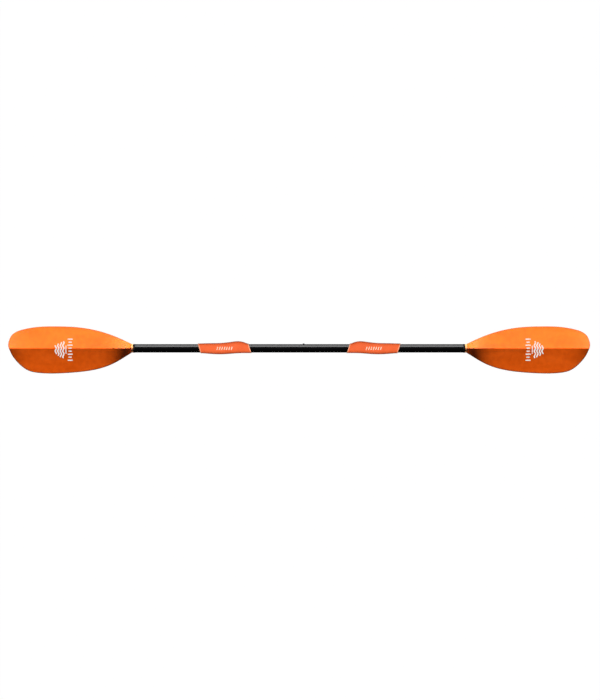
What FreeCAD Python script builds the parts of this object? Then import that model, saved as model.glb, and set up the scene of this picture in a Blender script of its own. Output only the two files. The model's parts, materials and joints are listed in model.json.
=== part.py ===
"""Two-piece kayak paddle, in millimetres.

The shaft lies along X, the blades' power faces look up (+Z) and their long, high edges point
to +Y. The origin is on the shaft's axis, at the seam between the two halves. The left half
(-X) carries the male ferrule insert and its snap button; the right half (+X) has the socket.
Each half is drawn once, on the +X side, and mirrored for the -X side.
"""

import FreeCAD, Part
import math
import os

# ---- driving dimensions -------------------------------------------------------------------
OVERALL_LENGTH = 2200.0
SHAFT_RADIUS = 15.875           # 1 1/4 inch tube
SHAFT_WALL = 1.25
BLADE_LENGTH = 472.0            # throat to tip
THROAT_X = OVERALL_LENGTH / 2 - BLADE_LENGTH
BORE_RADIUS = SHAFT_RADIUS - SHAFT_WALL
SLIP = 0.05                     # radial clearance of parts that slide in the bore
OVERSHOOT = 1.0                 # how far a cutting shape runs past what it cuts

# Blade outline, as (distance from the throat, distance from the shaft's axis), from the neck
# along the high edge, round the tip and back along the low edge.
OUTLINE = [(4, 15.875), (32, 29.5), (88, 52.7), (145, 69.4), (220, 80.9), (300, 83.6),
           (366, 81.1), (411, 73.4), (443, 62.8), (461, 48.8), (469.5, 30.0), (472, 12.0),
           (469.3, 0.5), (466, -8.0), (457.5, -26.6), (443, -47.0), (420.5, -69.5), (398, -84.0),
           (366, -92.2), (322, -95.3), (238, -92.5), (163, -84.2), (107, -70.5), (69, -54.5),
           (32, -33.0), (4, -15.875)]

# Height of the power face's ridge, and the angle at which its two panels fall away from it
# before they curl up again toward the edges.
RIDGE_HEIGHT = [(0, 15.2), (60, 7.6), (130, -0.6), (220, -6.5), (320, -3.4), (410, 4.8),
                (472, 13.5)]
FOLD_DEGREES = [(0, 43.0), (20, 31.0), (45, 20.5), (68, 15.6), (90, 12.9), (113, 11.5),
                (140, 10.8), (220, 10.9), (350, 10.6), (415, 11.6), (472, 17.5)]
PANEL_CUP = 0.0003              # rise of a panel for each square millimetre out from the ridge
FOLD_SHARE_HIGH = 1.07          # the narrower, high panel is a little steeper, so that
FOLD_SHARE_LOW = 0.94           # both edges come down to the same level
RIDGE_THICKNESS = 3.4
EDGE_THICKNESS = 2.6
BLADE_STATIONS = [-6, 20, 44, 66, 90, 120, 160, 215, 280, 345, 400, 440, 478]
PANEL_REACH = 110.0             # wider than the outline, which trims the panels
CREST_RADIUS = 4.0
RIM_RADIUS = 1.1

# Rib on the blade's back, as (distance from the throat, height of its centre, its radius).
BACK_RIB = [(1, 0.0, 15.2), (40, -1.6, 14.3), (100, -5.2, 12.0), (170, -9.0, 9.0),
            (240, -10.8, 6.2), (300, -8.6, 4.0), (352, -2.8, 1.2)]
BACK_RIB_END_X = THROAT_X + BACK_RIB[-1][0]
NECK_LENGTH = 7.0
TANG_LENGTH = 60.0
TANG_BORE_RADIUS = 9.0

THROAT_RING_WIDTH = 8.0
THROAT_RING_HEIGHT = 0.55
THROAT_RING_CHAMFER = 0.25

# Rivet that holds the blade's tang, on the back of the shaft.
RIVET_INSET = 32.0
RIVET_SHANK_RADIUS = 2.0
RIVET_HEAD_RADIUS = 4.0
RIVET_HEAD_HEIGHT = 1.1
RIVET_SHANK_LENGTH = 5.0

# Grip: its ends are cut on a slant, further out at the top (+Y) than at the bottom.
GRIP_INNER_TOP, GRIP_INNER_BOTTOM = 191.0, 181.0
GRIP_OUTER_TOP, GRIP_OUTER_BOTTOM = 382.5, 372.5
GRIP_SIDE_RADIUS = 19.4
GRIP_TOP_RADIUS = [(170, 17.6), (190, 17.8), (198, 19.2), (207, 22.8), (218, 25.8),
                   (233, 27.1), (248, 25.9), (266, 23.4), (286, 21.2), (318, 19.7),
                   (360, 19.0), (395, 18.8)]
GRIP_BOTTOM_RADIUS = [(170, 17.6), (197, 17.7), (216, 17.8), (238, 18.7), (262, 20.6),
                      (290, 22.1), (325, 21.6), (360, 18.9), (395, 17.4)]
GRIP_SECTION_POINTS = 16
GRIP_SQUARENESS = 1.5           # how far the section stands out at its four corners
GRIP_LIP_WIDTH = 3.6
GRIP_LIP_HEIGHT = 0.5

# Scribed line round each tube, just inboard of its grip, that shows where the grip goes.
SCRIBE_X = GRIP_INNER_BOTTOM - 1.3
SCRIBE_WIDTH = 0.9
SCRIBE_DEPTH = 0.3

# Ferrule
SEAM_GAP = 0.2
TUBE_END_CHAMFER = 0.3
INSERT_BONDED_LENGTH = 70.0
INSERT_FREE_LENGTH = 105.0
INSERT_RADIUS = BORE_RADIUS - SLIP
INSERT_BORE_RADIUS = 12.2
END_CAP_THICKNESS = 2.5
END_CAP_SKIRT = 8.0
END_CAP_SKIRT_WALL = 1.5
END_CAP_CHAMFER = 1.2
O_RING_X = 48.0
O_RING_SECTION_RADIUS = 0.62
O_RING_GROOVE_WIDTH = 1.6
O_RING_GROOVE_DEPTH = 1.3
PLUG_LENGTH = 35.0
PLUG_START_LEFT = 80.0
PLUG_START_RIGHT = 128.0

# Snap button, which stands out of the +Y side of the shaft.
BUTTON_X = 17.0
BUTTON_RADIUS = 3.25
BUTTON_HOLE_RADIUS = 3.5
BUTTON_PROUD = 3.1
BUTTON_DOME = 1.3
BUTTON_FLANGE_RADIUS = 4.4
BUTTON_FLANGE_TOP = 11.0
BUTTON_FLANGE_THICKNESS = 0.8
FEATHER_DEGREES = 60.0          # second button hole, round the back of the socket
SPRING_WIDTH = 7.0
SPRING_THICKNESS = 0.6
SPRING_BEND_X = 62.0
SPRING_BEND_RADIUS = 3.0
SPRING_FOOT_Y = -11.6
SPRING_GAP = 0.05

X_AXIS, Y_AXIS, Z_AXIS = (FreeCAD.Vector(*v) for v in ((1, 0, 0), (0, 1, 0), (0, 0, 1)))
ORIGIN = FreeCAD.Vector(0, 0, 0)


# ---- helpers ------------------------------------------------------------------------------
def smooth(table, x):
    """Value at x of a smooth curve through (x, value) pairs: cubics with matched slopes."""
    n = len(table)
    steps = [(table[i + 1][1] - table[i][1]) / (table[i + 1][0] - table[i][0])
             for i in range(n - 1)]
    slopes = [steps[0]] + [(a + b) / 2 for a, b in zip(steps, steps[1:])] + [steps[-1]]
    i = max(k for k in range(n - 1) if k == 0 or table[k][0] <= x)
    (x0, y0), (x1, y1) = table[i], table[i + 1]
    if not x0 <= x <= x1:
        near = 0 if x < x0 else 1
        return (y0, y1)[near] + slopes[i + near] * (x - (x0, x1)[near])
    width = x1 - x0
    t = (x - x0) / width
    return ((2 * t**3 - 3 * t**2 + 1) * y0 + (t**3 - 2 * t**2 + t) * width * slopes[i]
            + (3 * t**2 - 2 * t**3) * y1 + (t**3 - t**2) * width * slopes[i + 1])


def rod(radius, x0, x1):
    """Solid cylinder round the shaft's axis, from x0 to x1."""
    return Part.makeCylinder(radius, x1 - x0, FreeCAD.Vector(x0, 0, 0), X_AXIS)


def tube(outer, inner, x0, x1):
    return rod(outer, x0, x1).cut(rod(inner, x0 - OVERSHOOT, x1 + OVERSHOOT))


def spline(points):
    curve = Part.BSplineCurve()
    curve.interpolate(points)
    return curve.toShape()


def turned(profile):
    """Solid of revolution round the shaft's axis, from (x, radius) corners."""
    corners = [FreeCAD.Vector(x, r, 0) for x, r in profile]
    face = Part.Face(Part.makePolygon(corners + corners[:1]))
    return face.revolve(ORIGIN, X_AXIS, 360)


def other_side(shape):
    """The same piece for the left half of the paddle."""
    return shape.mirror(ORIGIN, X_AXIS)


# ---- blade --------------------------------------------------------------------------------
def panel_points(s, side, share, ridge_depth, edge_depth):
    """Points across one panel, from the ridge to its untrimmed edge, sunk by the depths."""
    slope = share * math.tan(math.radians(smooth(FOLD_DEGREES, s)))
    points = []
    for part in (0, 0.5, 1):
        out = part * PANEL_REACH
        depth = ridge_depth + part * (edge_depth - ridge_depth)
        height = smooth(RIDGE_HEIGHT, s) - slope * out + PANEL_CUP * out**2 - depth
        points.append(FreeCAD.Vector(THROAT_X + s, side * out, height))
    return points


def plate_section(s, ridge_depth, edge_depth):
    """Untrimmed section of the folded plate, from the power face down by the depths."""
    curves, edges = [], []
    for side, share in ((1, FOLD_SHARE_HIGH), (-1, FOLD_SHARE_LOW)):
        face = panel_points(s, side, share, 0, 0)
        back = panel_points(s, side, share, ridge_depth, edge_depth)
        curves += [spline(face), spline(back)]
        edges.append(Part.makeLine(face[-1], back[-1]))
    return Part.Wire(Part.__sortEdges__(curves + edges))


def folded_plate(ridge_depth, edge_depth):
    sections = [plate_section(s, ridge_depth, edge_depth) for s in BLADE_STATIONS]
    return Part.makeLoft(sections, True, False)


def outline_prism():
    """The blade's outline, as a tall block that trims the folded plate."""
    points = [FreeCAD.Vector(THROAT_X + s, y, -PANEL_REACH) for s, y in OUTLINE]
    wire = Part.Wire([spline(points), Part.makeLine(points[-1], points[0])])
    return Part.Face(wire).extrude(Z_AXIS * (2 * PANEL_REACH))


def back_rib():
    """Tapered round rib on the back, which carries the shaft's stiffness into the blade."""
    wires = []
    for s, z, radius in BACK_RIB:
        ring = Part.makeCircle(radius, FreeCAD.Vector(THROAT_X + s, 0, z), X_AXIS)
        wires.append(Part.Wire(ring))
    return Part.makeLoft(wires, True, False)


def rounded_edges(plate):
    """The plate with the power face's crest rounded, and then its whole rim, front and back."""
    crest = [edge for edge in plate.Edges
             if edge.BoundBox.YLength < RIM_RADIUS and edge.BoundBox.ZMax > RIDGE_HEIGHT[-1][1]]
    crested = plate.makeFillet(CREST_RADIUS, [max(crest, key=lambda edge: edge.BoundBox.XLength)])
    rim = [edge for edge in crested.Edges
           if edge.BoundBox.XMax > THROAT_X + NECK_LENGTH
           and (edge.BoundBox.YLength > CREST_RADIUS or edge.BoundBox.XMin > BACK_RIB_END_X)]
    return crested.makeFillet(RIM_RADIUS, rim)


def blade():
    plate = rounded_edges(folded_plate(RIDGE_THICKNESS, EDGE_THICKNESS).common(outline_prism()))
    rib = back_rib().common(folded_plate(PANEL_REACH, PANEL_REACH))
    neck = rod(SHAFT_RADIUS, THROAT_X, THROAT_X + NECK_LENGTH)
    tang = rod(INSERT_RADIUS, THROAT_X - TANG_LENGTH, THROAT_X)
    bore = rod(TANG_BORE_RADIUS, THROAT_X - TANG_LENGTH - OVERSHOOT, THROAT_X)
    return plate.fuse([rib, neck, tang]).cut(bore).cut(rivet_hole()).Solids[0]


def rivet_hole():
    start = FreeCAD.Vector(THROAT_X - RIVET_INSET, 0, -SHAFT_RADIUS - OVERSHOOT)
    return Part.makeCylinder(RIVET_SHANK_RADIUS, RIVET_SHANK_LENGTH + OVERSHOOT, start, Z_AXIS)


def blade_rivet():
    """Domed rivet through the tube and the tang."""
    x = THROAT_X - RIVET_INSET
    shank = Part.makeCylinder(RIVET_SHANK_RADIUS, RIVET_SHANK_LENGTH,
                              FreeCAD.Vector(x, 0, -SHAFT_RADIUS), Z_AXIS)
    dome_height = 2 * RIVET_HEAD_HEIGHT
    dome_radius = (RIVET_HEAD_RADIUS**2 + dome_height**2) / (2 * dome_height)
    crown = -SHAFT_RADIUS - RIVET_HEAD_HEIGHT
    dome = Part.makeSphere(dome_radius, FreeCAD.Vector(x, 0, crown + dome_radius))
    column = Part.makeCylinder(RIVET_HEAD_RADIUS, dome_height + OVERSHOOT,
                               FreeCAD.Vector(x, 0, crown - OVERSHOOT), Z_AXIS)
    seat = rod(SHAFT_RADIUS, x - 2 * RIVET_HEAD_RADIUS, x + 2 * RIVET_HEAD_RADIUS)
    return dome.common(column).cut(seat).fuse(shank).removeSplitter()


def throat_ring():
    """Black sealing ring round the end of the tube, against the blade's neck."""
    x0, x1 = THROAT_X - THROAT_RING_WIDTH, THROAT_X
    low, high = SHAFT_RADIUS, SHAFT_RADIUS + THROAT_RING_HEIGHT
    return turned([(x0, low), (x1, low),
                   (x1, high - THROAT_RING_CHAMFER), (x1 - THROAT_RING_CHAMFER, high),
                   (x0 + THROAT_RING_CHAMFER, high), (x0, high - THROAT_RING_CHAMFER)])


# ---- shaft --------------------------------------------------------------------------------
def shaft_tube():
    """Plain tube of one half, with the scribed line that locates its grip."""
    half = turned([(SEAM_GAP / 2, BORE_RADIUS),
                   (SEAM_GAP / 2, SHAFT_RADIUS - TUBE_END_CHAMFER),
                   (SEAM_GAP / 2 + TUBE_END_CHAMFER, SHAFT_RADIUS),
                   (SCRIBE_X - SCRIBE_WIDTH / 2, SHAFT_RADIUS),
                   (SCRIBE_X, SHAFT_RADIUS - SCRIBE_DEPTH),
                   (SCRIBE_X + SCRIBE_WIDTH / 2, SHAFT_RADIUS),
                   (THROAT_X, SHAFT_RADIUS), (THROAT_X, BORE_RADIUS)])
    return half.cut(rivet_hole())


def button_hole(degrees):
    """Drill for the snap button, turned round the shaft from +Y."""
    drill = Part.makeCylinder(BUTTON_HOLE_RADIUS, 2 * SHAFT_RADIUS,
                              FreeCAD.Vector(BUTTON_X, 0, 0), Y_AXIS)
    return drill.rotate(ORIGIN, X_AXIS, degrees)


def socket_tube():
    """The right half's tube, which has a button hole for each feather angle."""
    return shaft_tube().cut(button_hole(0)).cut(button_hole(-FEATHER_DEGREES))


def ferrule_insert():
    """Male insert: bonded in the left tube, it slides into the right one."""
    body = tube(INSERT_RADIUS, INSERT_BORE_RADIUS, -INSERT_BONDED_LENGTH, INSERT_FREE_LENGTH)
    groove = tube(INSERT_RADIUS + OVERSHOOT, INSERT_RADIUS - O_RING_GROOVE_DEPTH,
                  O_RING_X - O_RING_GROOVE_WIDTH / 2, O_RING_X + O_RING_GROOVE_WIDTH / 2)
    return body.cut(groove).cut(button_hole(0))


def ferrule_end_cap():
    start, skirt = INSERT_FREE_LENGTH, INSERT_FREE_LENGTH - END_CAP_SKIRT
    end = start + END_CAP_THICKNESS
    skirt_bore = INSERT_BORE_RADIUS - END_CAP_SKIRT_WALL
    return turned([(skirt, skirt_bore), (skirt, INSERT_BORE_RADIUS),
                   (start, INSERT_BORE_RADIUS), (start, INSERT_RADIUS),
                   (end - END_CAP_CHAMFER, INSERT_RADIUS),
                   (end, INSERT_RADIUS - END_CAP_CHAMFER), (end, 0),
                   (start, 0), (start, skirt_bore)])


def ferrule_o_ring():
    ring_radius = BORE_RADIUS - SLIP / 2 - O_RING_SECTION_RADIUS
    return Part.makeTorus(ring_radius, O_RING_SECTION_RADIUS,
                          FreeCAD.Vector(O_RING_X, 0, 0), X_AXIS)


def snap_button():
    """Domed button with a flange that stops it inside the insert."""
    top = SHAFT_RADIUS + BUTTON_PROUD
    base = BUTTON_FLANGE_TOP - BUTTON_FLANGE_THICKNESS
    pin = Part.makeCylinder(BUTTON_RADIUS, top - base, FreeCAD.Vector(BUTTON_X, base, 0), Y_AXIS)
    crown = max(pin.Edges, key=lambda edge: edge.BoundBox.YMin)
    flange = Part.makeCylinder(BUTTON_FLANGE_RADIUS, BUTTON_FLANGE_THICKNESS,
                               FreeCAD.Vector(BUTTON_X, base, 0), Y_AXIS)
    return pin.makeFillet(BUTTON_DOME, [crown]).fuse(flange).removeSplitter()


def button_spring():
    """V-shaped leaf: one leg under the button, the other along the insert's far wall."""
    top = BUTTON_FLANGE_TOP - BUTTON_FLANGE_THICKNESS - SPRING_GAP
    start_x, flat_x = BUTTON_X - BUTTON_FLANGE_RADIUS, BUTTON_X + BUTTON_FLANGE_RADIUS
    bend = FreeCAD.Vector(SPRING_BEND_X, (top + SPRING_FOOT_Y) / 2, 0)
    ends, sides = [], []
    for inset in (0, SPRING_THICKNESS):
        up, down = top - inset, SPRING_FOOT_Y + inset
        radius = SPRING_BEND_RADIUS - inset
        leg_up = [FreeCAD.Vector(start_x, up, 0), FreeCAD.Vector(flat_x, up, 0),
                  bend + Y_AXIS * radius]
        leg_down = [bend - Y_AXIS * radius, FreeCAD.Vector(flat_x, down, 0),
                    FreeCAD.Vector(start_x, down, 0)]
        sides += Part.makePolygon(leg_up).Edges + Part.makePolygon(leg_down).Edges
        sides.append(Part.Arc(leg_up[-1], bend + X_AXIS * radius, leg_down[0]).toShape())
        ends.append((leg_up[0], leg_down[-1]))
    sides += [Part.makeLine(outer, inner) for outer, inner in zip(*ends)]
    profile = Part.Face(Part.Wire(Part.__sortEdges__(sides)))
    profile.translate(Z_AXIS * (-SPRING_WIDTH / 2))
    return profile.extrude(Z_AXIS * SPRING_WIDTH)


def shaft_plug(start):
    """Closed-cell foam bung that keeps water out of the shaft."""
    return rod(INSERT_RADIUS, start, start + PLUG_LENGTH)


# ---- grip ---------------------------------------------------------------------------------
def grip_section(x, extra):
    """Squarish egg-shaped section: its top and bottom swell along the grip, its sides don't."""
    top, bottom = smooth(GRIP_TOP_RADIUS, x), smooth(GRIP_BOTTOM_RADIUS, x)
    points = []
    for k in range(GRIP_SECTION_POINTS):
        angle = 2 * math.pi * k / GRIP_SECTION_POINTS
        lift = math.sin(angle)
        swell = (top if lift > 0 else bottom) - GRIP_SIDE_RADIUS
        corner = GRIP_SQUARENESS * math.sin(2 * angle)**2
        radius = GRIP_SIDE_RADIUS + swell * lift**2 + corner + extra
        points.append(FreeCAD.Vector(x, radius * lift, radius * math.cos(angle)))
    curve = Part.BSplineCurve()
    curve.interpolate(points, True)
    return Part.Wire(curve.toShape())


def slanted_block(inner_shift, outer_shift):
    """Block between the grip's two slanted ends, each moved outward along the shaft."""
    half = 2 * SHAFT_RADIUS

    def corner(top, bottom, y, shift):
        slant = (top - bottom) / half
        return FreeCAD.Vector((top + bottom) / 2 + slant * y + shift, y, -half)
    corners = [corner(GRIP_INNER_TOP, GRIP_INNER_BOTTOM, -half, inner_shift),
               corner(GRIP_OUTER_TOP, GRIP_OUTER_BOTTOM, -half, outer_shift),
               corner(GRIP_OUTER_TOP, GRIP_OUTER_BOTTOM, half, outer_shift),
               corner(GRIP_INNER_TOP, GRIP_INNER_BOTTOM, half, inner_shift)]
    face = Part.Face(Part.makePolygon(corners + corners[:1]))
    return face.extrude(Z_AXIS * (2 * half))


def grip():
    """Rubber sleeve with a palm swell and a raised lip at each slanted end."""
    def swollen(extra):
        return Part.makeLoft([grip_section(x, extra) for x, _ in GRIP_TOP_RADIUS], True, False)
    sleeve = swollen(0).common(slanted_block(GRIP_LIP_WIDTH, -GRIP_LIP_WIDTH))
    ends = slanted_block(0, 0).cut(slanted_block(GRIP_LIP_WIDTH, -GRIP_LIP_WIDTH))
    lips = swollen(GRIP_LIP_HEIGHT).common(ends)
    bore = rod(SHAFT_RADIUS, GRIP_TOP_RADIUS[0][0], GRIP_TOP_RADIUS[-1][0])
    return sleeve.fuse(lips).cut(bore)


# ---- all pieces ---------------------------------------------------------------------------
def main():
    os.makedirs("parts", exist_ok=True)
    pair = {"blade": blade(), "grip": grip(), "throat_ring": throat_ring(),
            "blade_rivet": blade_rivet()}
    pieces = {}
    for name, shape in pair.items():
        pieces["right_" + name] = shape
        pieces["left_" + name] = other_side(shape)
    pieces["left_shaft_tube"] = other_side(shaft_tube())
    pieces["right_shaft_tube"] = socket_tube()
    pieces["left_shaft_plug"] = other_side(shaft_plug(PLUG_START_LEFT))
    pieces["right_shaft_plug"] = shaft_plug(PLUG_START_RIGHT)
    pieces["ferrule_insert"] = ferrule_insert()
    pieces["ferrule_end_cap"] = ferrule_end_cap()
    pieces["ferrule_o_ring"] = ferrule_o_ring()
    pieces["snap_button"] = snap_button()
    pieces["button_spring"] = button_spring()
    for name, shape in sorted(pieces.items()):
        shape.exportStep("parts/" + name + ".step")
        box = shape.BoundBox
        print(f"{name:18} solids {len(shape.Solids)} valid {shape.isValid()} "
              f"volume {shape.Volume / 1000:8.2f} cm3  x {box.XMin:8.1f} {box.XMax:8.1f}  "
              f"y {box.YMin:6.1f} {box.YMax:6.1f}  z {box.ZMin:6.1f} {box.ZMax:6.1f}")


main()
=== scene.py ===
"""Looks of the kayak paddle: materials, printed marks, floor, light and camera.

The frame is in metres. X runs along the shaft, +Y points to the blades' high edges and +Z out
of their power faces. The paddle lies flat and the camera looks straight down at it.
"""

import json
import math

import bmesh
import bpy
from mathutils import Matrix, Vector
from mathutils.bvhtree import BVHTree


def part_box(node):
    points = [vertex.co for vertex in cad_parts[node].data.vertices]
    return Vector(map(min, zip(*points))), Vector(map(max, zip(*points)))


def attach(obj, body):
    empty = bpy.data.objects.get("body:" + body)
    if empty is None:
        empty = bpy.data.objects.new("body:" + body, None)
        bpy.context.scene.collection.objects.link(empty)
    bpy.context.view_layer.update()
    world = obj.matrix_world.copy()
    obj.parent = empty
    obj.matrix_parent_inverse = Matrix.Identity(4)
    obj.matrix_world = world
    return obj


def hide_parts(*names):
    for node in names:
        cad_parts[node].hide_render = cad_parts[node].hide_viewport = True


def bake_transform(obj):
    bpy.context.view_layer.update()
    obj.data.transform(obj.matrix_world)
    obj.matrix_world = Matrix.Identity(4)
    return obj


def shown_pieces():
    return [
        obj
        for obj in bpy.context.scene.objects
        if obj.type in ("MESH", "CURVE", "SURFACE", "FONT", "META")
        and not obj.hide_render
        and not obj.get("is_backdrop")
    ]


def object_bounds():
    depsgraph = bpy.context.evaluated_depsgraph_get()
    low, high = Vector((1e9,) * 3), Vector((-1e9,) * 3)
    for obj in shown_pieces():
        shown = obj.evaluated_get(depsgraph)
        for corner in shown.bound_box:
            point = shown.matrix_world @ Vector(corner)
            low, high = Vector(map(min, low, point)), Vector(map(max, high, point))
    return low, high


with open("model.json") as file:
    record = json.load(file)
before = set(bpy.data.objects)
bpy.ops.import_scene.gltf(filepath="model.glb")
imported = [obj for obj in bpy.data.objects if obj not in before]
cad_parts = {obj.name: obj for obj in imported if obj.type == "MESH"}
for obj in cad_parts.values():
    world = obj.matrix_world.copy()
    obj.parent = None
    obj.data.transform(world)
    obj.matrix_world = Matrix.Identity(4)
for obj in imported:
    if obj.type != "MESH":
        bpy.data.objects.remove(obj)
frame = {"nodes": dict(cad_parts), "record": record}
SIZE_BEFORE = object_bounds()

MM = 0.001
LOW, HIGH = SIZE_BEFORE
SPAN = HIGH.x - LOW.x
THROAT_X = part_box("right_shaft_tube")[1].x
BLADE_LENGTH = HIGH.x - THROAT_X
GRIP_LOW, GRIP_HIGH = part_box("right_grip")
SIDES = {"left": -1, "right": 1}

# Picture: the paddle fills most of the width, a little left of and above the middle.
FRAME_WIDTH = 1.0318 * SPAN
CAMERA_DISTANCE = 10.0
CAMERA_OFFSET = Vector((0.0015 * SPAN, -0.0028 * SPAN, 0))
SENSOR = 36.0
PICTURE_ASPECT = 7 / 6
FLOOR_GAP = 0.2 * MM

# White print on each power face: waves, a thin bar and a column of dashes, going inboard.
MARK_Y = -5 * MM
WAVE_X = THROAT_X + 0.561 * BLADE_LENGTH
WAVE_LENGTHS = [34 * MM, 46 * MM, 58 * MM, 64 * MM]
WAVE_PITCH = 9.5 * MM
WAVE_WIDTH = 4.8 * MM
WAVE_HEIGHT = 2.2 * MM
WAVE_PERIOD = 21 * MM
BAR_X = THROAT_X + 0.540 * BLADE_LENGTH
BAR_LENGTH = 32 * MM
BAR_WIDTH = 3.4 * MM
DASH_X = THROAT_X + 0.507 * BLADE_LENGTH
DASH_LENGTHS = [20 * MM, 13 * MM, 20 * MM, 13 * MM, 13 * MM, 20 * MM, 13 * MM, 20 * MM]
DASH_PITCH = 11.4 * MM
DASH_WIDTH = 4.6 * MM

NECK_LENGTH = 7 * MM            # round neck of the blade, against the tube

# Lip along each slanted end of a grip, and the raised bars across its middle.
GRIP_END_RISE = 18.8 * MM       # half the grip's height at its ends
GRIP_SLANT = 0.315              # how far the ends lean out along X for each metre up Y
GRIP_HALF = (GRIP_HIGH.x - GRIP_LOW.x) / 2 - GRIP_SLANT * GRIP_END_RISE
GRIP_LIP = 3.6 * MM
GRIP_MARK_X = (GRIP_LOW.x + GRIP_HIGH.x) / 2
GRIP_BAR_COUNT = 7
GRIP_BAR_PITCH = 9 * MM
GRIP_BAR_WIDTH = 3.6 * MM
GRIP_BAR_HEIGHT = 12.5 * MM
GRIP_BAR_SLANT = 4 * MM

STROKE_STEP = 0.75 * MM         # length of a stroke's quads
STROKE_COLUMNS = 4              # quads across a stroke
PRINT_LIFT = 0.12 * MM          # how far print stands off the blade
RAISED_LIFT = 0.45 * MM         # how far the bars stand off the grip
STROKE_ROOT = 0.25 * MM         # how far a stroke's back lies inside what it is on
STROKE_TIP = 0.1                # width left at a stroke's very end, as a share of its full width

# The button's leaf spring is cut into bands of faces along its legs, so that it can bend.
SPRING_BANDS = 24
SPRING_WELD = 0.001 * MM        # vertices closer than this are one

# Painted shade along a blade's edges and ridge, and painted highlights on a blade's neck and along a
# grip's lips.
PAINTED_EDGE_SHADE = (0.16, 0.05, 0.015, 1)
EDGE_SHADE_RADIUS = 8 * MM
EDGE_SHADE_SAMPLES = 6
PAINTED_NECK_HIGHLIGHT = (0.74, 0.27, 0.09, 1)
PAINTED_LIP_HIGHLIGHT = (0.92, 0.36, 0.20, 1)
PAINTED_HIGHLIGHT_FADE = 0.8                 # share of a painted highlight's length before it starts to fade

# Sizes of the floor and of the sphere round the scene, and the light from all round.
FLOOR_SIZE = 60 * SPAN
SURROUNDINGS_RADIUS = 40 * SPAN
WORLD_STRENGTH = 0.04


# ---- materials ----------------------------------------------------------------------------
def new_material(name, **settings):
    """A material whose even values are set on the shader's own sockets."""
    material = bpy.data.materials.new(name)
    material.use_nodes = True
    shader = material.node_tree.nodes["Principled BSDF"]
    for socket, value in settings.items():
        shader.inputs[socket.replace("_", " ")].default_value = value
    return material, material.node_tree, shader


def add(tree, kind, inputs=(), **settings):
    """A node with its settings, and with each input either linked or set."""
    node = tree.nodes.new(kind)
    for key, value in settings.items():
        setattr(node, key, value)
    for key, value in dict(inputs).items():
        if isinstance(value, bpy.types.NodeSocket):
            tree.links.new(value, node.inputs[key])
        else:
            node.inputs[key].default_value = value
    return node


def noise(tree, place, scale, detail=4, stretch=(1, 1, 1)):
    """Noise in the object's own metres, finer as scale rises."""
    mapped = add(tree, "ShaderNodeMapping", {"Vector": place, "Scale": stretch})
    return add(tree, "ShaderNodeTexNoise",
               {"Vector": mapped.outputs[0], "Scale": scale, "Detail": detail}).outputs["Fac"]


def spread(tree, source, low, high, start=0.3, end=0.7):
    """The source's middle range as values from low to high."""
    return add(tree, "ShaderNodeMapRange", {"Value": source, "From Min": start, "From Max": end,
                                            "To Min": low, "To Max": high}).outputs[0]


def tint(tree, source, stops):
    """The source as a colour, through (place, colour) stops."""
    ramp = add(tree, "ShaderNodeValToRGB", {"Fac": source})
    elements = ramp.color_ramp.elements
    while len(elements) < len(stops):
        elements.new(0.5)
    for element, (position, colour) in zip(elements, stops):
        element.position = position
        element.color = (*colour, 1)
    return ramp.outputs[0]


def blended(tree, factor, first, second):
    """Colour from the first, where the factor is 0, to the second.

    The Mix node takes its colours at sockets 6 and 7 and gives the result at socket 2.
    """
    return add(tree, "ShaderNodeMix", {0: factor, 6: first, 7: second}, data_type="RGBA").outputs[2]


def bump(tree, shader, heights):
    """Chained bumps, as (height, distance in metres, strength)."""
    normal = None
    for height, distance, strength in heights:
        inputs = {"Height": height, "Distance": distance, "Strength": strength}
        if normal is not None:
            inputs["Normal"] = normal
        normal = add(tree, "ShaderNodeBump", inputs).outputs[0]
    tree.links.new(normal, shader.inputs["Normal"])


def painted_edge_shade(tree, low, high):
    """From 0 inside a surface to 1 within the radius of its edges and creases: the mask of the
    blade's painted shade.
    """
    rounded = add(tree, "ShaderNodeBevel", {"Radius": EDGE_SHADE_RADIUS}, samples=EDGE_SHADE_SAMPLES).outputs[0]
    own = add(tree, "ShaderNodeNewGeometry").outputs["Normal"]
    match = add(tree, "ShaderNodeVectorMath", {0: rounded, 1: own}, operation="DOT_PRODUCT")
    return spread(tree, match.outputs["Value"], 1, 0, low, high)


def maths(tree, operation, *values):
    """A Math node on two or three values."""
    return add(tree, "ShaderNodeMath", dict(enumerate(values)), operation=operation).outputs[0]


def distance_out(tree, place):
    """Distance from the paddle's middle along X, and the height along Y."""
    axes = add(tree, "ShaderNodeSeparateXYZ", {0: place}).outputs
    return maths(tree, "ABSOLUTE", axes["X"]), axes["Y"]


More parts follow.
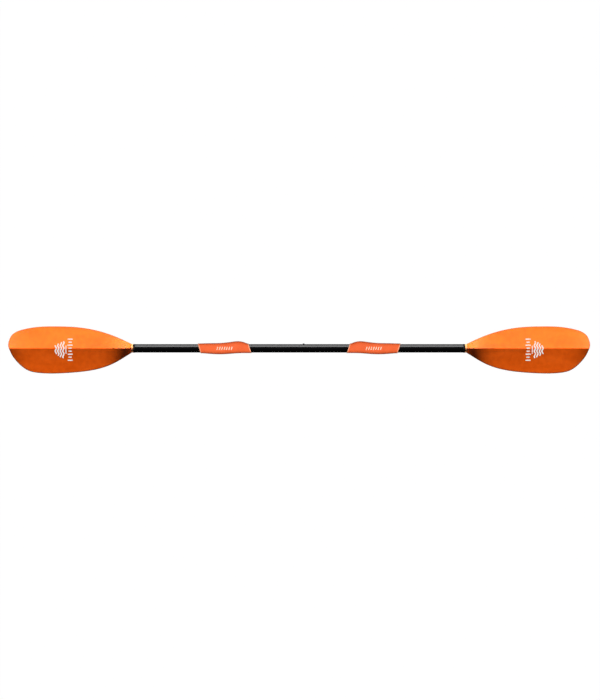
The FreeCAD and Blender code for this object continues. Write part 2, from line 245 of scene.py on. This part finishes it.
def blade_material():
    """Glossy moulded nylon: faint flow marks, a fine orange-peel skin and scuffs, with painted shade
    along its edges and ridge and a painted highlight on its neck.
    """
    material, tree, shader = new_material("blade_nylon", Specular_IOR_Level=0.14)
    place = add(tree, "ShaderNodeTexCoord").outputs["Object"]
    flow = noise(tree, place, 9, 5, (1, 3, 3))
    mottle = noise(tree, place, 60, 3)
    mixed = maths(tree, "ADD", flow, mottle)
    colour = tint(tree, spread(tree, mixed, 0, 1, 0.75, 1.25),
                  [(0.0, (0.87, 0.104, 0.001)), (1.0, (1.0, 0.136, 0.003))])
    # Painted shade: the blade's edges and its ridge crease are darkened to dark brown.
    edge_shaded = blended(tree, painted_edge_shade(tree, 0.85, 0.995), colour, PAINTED_EDGE_SHADE)
    out, _ = distance_out(tree, place)
    # Painted highlight: the blade's round neck, next to the tube, is made paler.
    neck_highlight = spread(tree, out, 1, 0, THROAT_X + PAINTED_HIGHLIGHT_FADE * NECK_LENGTH, THROAT_X + NECK_LENGTH)
    tree.links.new(blended(tree, neck_highlight, edge_shaded, PAINTED_NECK_HIGHLIGHT), shader.inputs["Base Color"])
    scuffs = noise(tree, place, 45, 6, (1, 14, 14))
    rough = maths(tree, "ADD", spread(tree, scuffs, 0.0, 0.16, 0.55, 0.75),
                  spread(tree, flow, 0.34, 0.44))
    tree.links.new(rough, shader.inputs["Roughness"])
    peel = noise(tree, place, 900, 2)
    bump(tree, shader, [(peel, 0.15 * MM, 0.25), (scuffs, 0.1 * MM, 0.2)])
    return material


def shaft_material():
    """Gloss black coated tube, with faint lengthwise streaks under the coat."""
    material, tree, shader = new_material("shaft_black", Specular_IOR_Level=0.3)
    place = add(tree, "ShaderNodeTexCoord").outputs["Object"]
    streaks = noise(tree, place, 500, 3, (0.02, 1, 1))
    wear = noise(tree, place, 35, 6)
    colour = tint(tree, streaks, [(0.3, (0.001, 0.001, 0.0012)), (0.7, (0.003, 0.003, 0.0035))])
    tree.links.new(colour, shader.inputs["Base Color"])
    tree.links.new(spread(tree, wear, 0.16, 0.28), shader.inputs["Roughness"])
    bump(tree, shader, [(streaks, 0.02 * MM, 0.25)])
    return material


def grip_material():
    """Coral rubber with a fine grain, paler where it is rubbed, and with a painted highlight along
    its lips.
    """
    material, tree, shader = new_material("grip_rubber", Specular_IOR_Level=0.12)
    place = add(tree, "ShaderNodeTexCoord").outputs["Object"]
    rubbed = noise(tree, place, 30, 5)
    colour = tint(tree, rubbed, [(0.3, (0.78, 0.115, 0.028)), (0.7, (0.86, 0.14, 0.04))])
    out, up = distance_out(tree, place)
    # Painted highlight: a paler band along each slanted end of the grip.
    leaned = maths(tree, "MULTIPLY_ADD", up, -GRIP_SLANT, out)
    from_middle = maths(tree, "ABSOLUTE", maths(tree, "SUBTRACT", leaned, GRIP_MARK_X))
    lip_highlight = spread(tree, from_middle, 0, 1, GRIP_HALF - GRIP_LIP, GRIP_HALF - PAINTED_HIGHLIGHT_FADE * GRIP_LIP)
    tree.links.new(blended(tree, lip_highlight, colour, PAINTED_LIP_HIGHLIGHT), shader.inputs["Base Color"])
    tree.links.new(spread(tree, rubbed, 0.62, 0.78), shader.inputs["Roughness"])
    grain = add(tree, "ShaderNodeTexVoronoi", {"Vector": place, "Scale": 700}).outputs["Distance"]
    bump(tree, shader, [(grain, 0.12 * MM, 0.35), (rubbed, 0.3 * MM, 0.15)])
    return material


def ring_material():
    """Dull black rubber with a little dust."""
    material, tree, shader = new_material("ring_black", Specular_IOR_Level=0.1)
    place = add(tree, "ShaderNodeTexCoord").outputs["Object"]
    dust = noise(tree, place, 250, 4)
    tree.links.new(tint(tree, dust, [(0.3, (0.003, 0.003, 0.003)), (0.75, (0.008, 0.008, 0.008))]),
                   shader.inputs["Base Color"])
    tree.links.new(spread(tree, dust, 0.6, 0.8), shader.inputs["Roughness"])
    bump(tree, shader, [(noise(tree, place, 1500, 2), 0.05 * MM, 0.3)])
    return material


def metal_material(name, colour, roughness, grain):
    """Brushed metal, whose scratches run along the shaft."""
    material, tree, shader = new_material(name, Metallic=1.0, Base_Color=(*colour, 1))
    place = add(tree, "ShaderNodeTexCoord").outputs["Object"]
    brushed = noise(tree, place, grain, 4, (1, 6, 6))
    tree.links.new(spread(tree, brushed, roughness * 0.7, roughness * 1.3),
                   shader.inputs["Roughness"])
    bump(tree, shader, [(brushed, 0.02 * MM, 0.3)])
    return material


def plastic_material(name, dark, light, scale):
    """Plastic, rubber or foam with a fine mottle from the dark colour to the light one."""
    material, tree, shader = new_material(name, Specular_IOR_Level=0.4)
    place = add(tree, "ShaderNodeTexCoord").outputs["Object"]
    cells = noise(tree, place, scale, 4)
    tree.links.new(tint(tree, cells, [(0.3, dark), (0.7, light)]), shader.inputs["Base Color"])
    tree.links.new(spread(tree, cells, 0.5, 0.7), shader.inputs["Roughness"])
    bump(tree, shader, [(cells, 0.2 * MM, 0.3)])
    return material


def print_material(name, thin, full, roughness):
    """Print ink that has worn thin in small patches."""
    material, tree, shader = new_material(name, Specular_IOR_Level=0.25)
    place = add(tree, "ShaderNodeTexCoord").outputs["Object"]
    patches = noise(tree, place, 160, 6)
    tree.links.new(tint(tree, patches, [(0.32, thin), (0.42, full)]), shader.inputs["Base Color"])
    tree.links.new(spread(tree, patches, roughness * 1.2, roughness * 0.9),
                   shader.inputs["Roughness"])
    bump(tree, shader, [(noise(tree, place, 1200, 2), 0.05 * MM, 0.3)])
    return material


def paint_nodes():
    """Puts each record slot's material on the CAD nodes that use it."""
    made = {
        "blade_nylon": blade_material(),
        "shaft_black": shaft_material(),
        "grip_rubber": grip_material(),
        "ring_black": ring_material(),
        "rivet_steel": metal_material("rivet_steel", (0.55, 0.55, 0.56), 0.35, 600),
        "plug_foam": plastic_material("plug_foam", (0.55, 0.55, 0.5), (0.75, 0.75, 0.7), 900),
        "insert_metal": metal_material("insert_metal", (0.07, 0.07, 0.075), 0.4, 500),
        "cap_plastic": plastic_material("cap_plastic", (0.01, 0.01, 0.01), (0.02, 0.02, 0.02), 600),
        "seal_rubber": plastic_material("seal_rubber", (0.01, 0.01, 0.01), (0.02, 0.02, 0.02), 900),
        "button_steel": metal_material("button_steel", (0.10, 0.10, 0.105), 0.45, 800),
        "spring_steel": metal_material("spring_steel", (0.6, 0.6, 0.61), 0.3, 600),
    }
    for part in frame["record"]["subparts"]:
        mesh = frame["nodes"][part["node"]].data
        mesh.materials.clear()
        mesh.materials.append(made[part["material_slot"]])


# ---- marks --------------------------------------------------------------------------------
def wavy(x, y, length):
    """Centreline of a wave that runs along Y."""
    count = round(length / STROKE_STEP)
    points = []
    for k in range(count + 1):
        along = (k / count - 0.5) * length
        points.append(Vector((x + WAVE_HEIGHT * math.sin(math.tau * along / WAVE_PERIOD), y + along)))
    return points


def straight(start, end):
    """Centreline from start to end."""
    start, end = Vector(start), Vector(end)
    count = round((end - start).length / STROKE_STEP)
    return [start.lerp(end, k / count) for k in range(count + 1)]


def round_ended(points, k, width):
    """Half the stroke's width at point k, which shrinks in a half circle at each end."""
    radius = width / 2
    inset = min((points[k] - points[0]).length, (points[-1] - points[k]).length, radius)
    return max(radius * math.sqrt(1 - (1 - inset / radius)**2), STROKE_TIP * radius)


def add_stroke(vertices, faces, surface, points, width, lift):
    """Adds a band of quads along the points, laid on the surface from above."""
    first = len(vertices)
    for k, point in enumerate(points):
        ahead = points[min(k + 1, len(points) - 1)] - points[max(k - 1, 0)]
        across = Vector((-ahead.y, ahead.x)).normalized()
        half = round_ended(points, k, width)
        for column in range(STROKE_COLUMNS + 1):
            spot = point + across * half * (2 * column / STROKE_COLUMNS - 1)
            hit = surface.ray_cast(Vector((*spot, HIGH.z + lift)), Vector((0, 0, -1)))
            vertices.append(hit[0] + hit[1] * lift)
    row = STROKE_COLUMNS + 1
    for k in range(len(points) - 1):
        for column in range(STROKE_COLUMNS):
            corner = first + k * row + column
            faces.append((corner, corner + row, corner + row + 1, corner + 1))


def lay_strokes(name, node, body, strokes, lift, material):
    """A piece of closed strokes that follow a CAD node's upper surface and ride with it."""
    mesh = frame["nodes"][node].data
    surface = BVHTree.FromPolygons([v.co for v in mesh.vertices], [p.vertices for p in mesh.polygons])
    vertices, faces = [], []
    for points, width in strokes:
        add_stroke(vertices, faces, surface, points, width, lift)
    made = bpy.data.meshes.new(name)
    made.from_pydata(vertices, [], faces)
    made.materials.append(material)
    piece = bpy.data.objects.new(name, made)
    bpy.context.scene.collection.objects.link(piece)
    solid = piece.modifiers.new("thickness", "SOLIDIFY")
    solid.thickness = lift + STROKE_ROOT
    solid.offset = -1
    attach(piece, body)
    return piece


def blade_strokes(side):
    """Waves, thin bar and dashes on one blade."""
    strokes = [(wavy(side * (WAVE_X + k * WAVE_PITCH), MARK_Y, length), WAVE_WIDTH)
               for k, length in enumerate(reversed(WAVE_LENGTHS))]
    bar_x = side * BAR_X
    strokes.append((straight((bar_x, MARK_Y - BAR_LENGTH / 2), (bar_x, MARK_Y + BAR_LENGTH / 2)),
                    BAR_WIDTH))
    for k, length in enumerate(DASH_LENGTHS):
        y = MARK_Y + (k - (len(DASH_LENGTHS) - 1) / 2) * DASH_PITCH
        inner, outer = DASH_X - length / 2, DASH_X + length / 2
        strokes.append((straight((side * inner, y), (side * outer, y)), DASH_WIDTH))
    return strokes


def grip_strokes(side):
    """Slanted bars along the middle of one grip."""
    strokes = []
    for k in range(GRIP_BAR_COUNT):
        x = side * GRIP_MARK_X + (k - (GRIP_BAR_COUNT - 1) / 2) * GRIP_BAR_PITCH
        low = (x - GRIP_BAR_SLANT / 2, -GRIP_BAR_HEIGHT / 2)
        high = (x + GRIP_BAR_SLANT / 2, GRIP_BAR_HEIGHT / 2)
        strokes.append((straight(low, high), GRIP_BAR_WIDTH))
    return strokes


def marks():
    """Generic print on the blades and raised bars on the grips."""
    ink = print_material("white_ink", (0.80, 0.50, 0.34), (0.78, 0.74, 0.70), 0.5)
    paint = print_material("grip_paint", (0.86, 0.35, 0.18), (0.92, 0.62, 0.46), 0.7)
    for name, side in SIDES.items():
        body = name + "_half"
        lay_strokes(name + "_blade_print", name + "_blade", body,
                    blade_strokes(side), PRINT_LIFT, ink)
        lay_strokes(name + "_grip_bars", name + "_grip", body,
                    grip_strokes(side), RAISED_LIFT, paint)


# ---- spring -------------------------------------------------------------------------------
def bending_spring():
    """The button's V spring as a new piece in place of the CAD node, cut into bands of faces along
    its legs.
    """
    node = frame["nodes"]["button_spring"]
    low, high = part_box("button_spring")
    leaf = bmesh.new()
    leaf.from_mesh(node.data)
    bmesh.ops.remove_doubles(leaf, verts=leaf.verts, dist=SPRING_WELD)
    for k in range(1, SPRING_BANDS):
        everything = leaf.verts[:] + leaf.edges[:] + leaf.faces[:]
        bmesh.ops.bisect_plane(leaf, geom=everything, plane_co=low.lerp(high, k / SPRING_BANDS),
                               plane_no=(1, 0, 0))
    mesh = bpy.data.meshes.new("button_leaf_spring")
    leaf.to_mesh(mesh)
    leaf.free()
    mesh.materials.append(node.data.materials[0])
    piece = bpy.data.objects.new("button_leaf_spring", mesh)
    bpy.context.scene.collection.objects.link(piece)
    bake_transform(piece)
    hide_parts("button_spring")


# ---- floor, light and camera --------------------------------------------------------------
def stand_back(name, material):
    """Makes the newest object a backdrop that the camera sees, and light, gloss and shadow don't."""
    made = bpy.context.object
    made.name = name
    made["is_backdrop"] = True
    made.data.materials.append(material)
    made.visible_diffuse = False
    made.visible_glossy = False
    made.visible_shadow = False


def backdrop():
    """Pale glowing floor and surroundings, which neither light, shade nor mirror in the paddle."""
    material, tree, shader = new_material("floor_white", Base_Color=(0.08, 0.08, 0.08, 1),
                                          Roughness=0.9, Emission_Color=(1, 1, 1, 1),
                                          Emission_Strength=1.0)
    place = add(tree, "ShaderNodeTexCoord").outputs["Object"]
    bump(tree, shader, [(noise(tree, place, 40, 4), 0.1 * MM, 0.1)])
    bpy.ops.mesh.primitive_plane_add(size=FLOOR_SIZE, location=(0, 0, LOW.z - FLOOR_GAP))
    stand_back("floor", material)
    bpy.ops.mesh.primitive_uv_sphere_add(segments=48, ring_count=24, radius=SURROUNDINGS_RADIUS)
    stand_back("surroundings", material)


def softbox(name, size, power, place, lit, gloss=True, diffuse=True):
    """A rectangular light aimed at the paddle's middle, which lights only the given pieces.

    Its power is in watts.
    """
    light = bpy.data.lights.new(name, "AREA")
    light.shape = "RECTANGLE"
    light.size, light.size_y = size
    light.energy = power
    made = bpy.data.objects.new(name, light)
    bpy.context.scene.collection.objects.link(made)
    made.location = place
    made.rotation_euler = (-Vector(place)).to_track_quat("-Z", "Y").to_euler()
    made.visible_camera = False
    made.visible_glossy = gloss
    made.visible_diffuse = diffuse
    receivers = bpy.data.collections.new(name + "_receivers")
    for thing in lit:
        receivers.objects.link(thing)
    made.light_linking.receiver_collection = receivers


def lights():
    """Low soft light from beyond the high edges, and from overhead for the grips and the print.

    The sheen and the throat's gloss whiten the blades' high panels, most of all where they are
    steep, and the bounce lights a blade that is turned over.
    """
    soft, blades, hard = [], [], []
    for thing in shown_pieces():
        if "grip" in thing.name or "print" in thing.name:
            soft.append(thing)
        elif thing.name.endswith("_blade"):
            blades.append(thing)
        else:
            hard.append(thing)
    strip = (4 * SPAN, 0.3 * SPAN)
    softbox("key", strip, 560, (0, 1.1 * SPAN, 0.36 * SPAN), blades, gloss=False)
    softbox("sheen", strip, 110, (0, 0.6 * SPAN, 1.05 * SPAN), blades, diffuse=False)
    softbox("throat_gloss", strip, 280, (0, 0.92 * SPAN, 0.77 * SPAN), blades, diffuse=False)
    softbox("bounce", (4 * SPAN, 0.6 * SPAN), 120, (0, -SPAN, -0.6 * SPAN), blades, gloss=False)
    softbox("shine", (4 * SPAN, 1.0 * SPAN), 520, (0, 1.1 * SPAN, 0.46 * SPAN), hard)
    softbox("overhead", (2 * SPAN, 0.3 * SPAN), 112, (0, 0.1 * SPAN, 1.2 * SPAN), soft)


def surrounding_light():
    """Faint even light from all round."""
    world = bpy.data.worlds.new("studio")
    bpy.context.scene.world = world
    world.use_nodes = True
    background = world.node_tree.nodes["Background"].inputs
    background["Color"].default_value = (1, 1, 1, 1)
    background["Strength"].default_value = WORLD_STRENGTH


def camera():
    """Camera straight above the paddle, far enough away to show hardly any perspective."""
    data = bpy.data.cameras.new("camera")
    data.sensor_width = SENSOR
    data.lens = SENSOR * CAMERA_DISTANCE / (FRAME_WIDTH * PICTURE_ASPECT)
    data.clip_end = 10 * CAMERA_DISTANCE
    made = bpy.data.objects.new("camera", data)
    made.location = CAMERA_OFFSET + Vector((0, 0, CAMERA_DISTANCE))
    bpy.context.scene.collection.objects.link(made)
    bpy.context.scene.camera = made


paint_nodes()
marks()
bending_spring()
backdrop()
lights()
surrounding_light()
camera()
bpy.context.scene.view_settings.view_transform = "Standard"
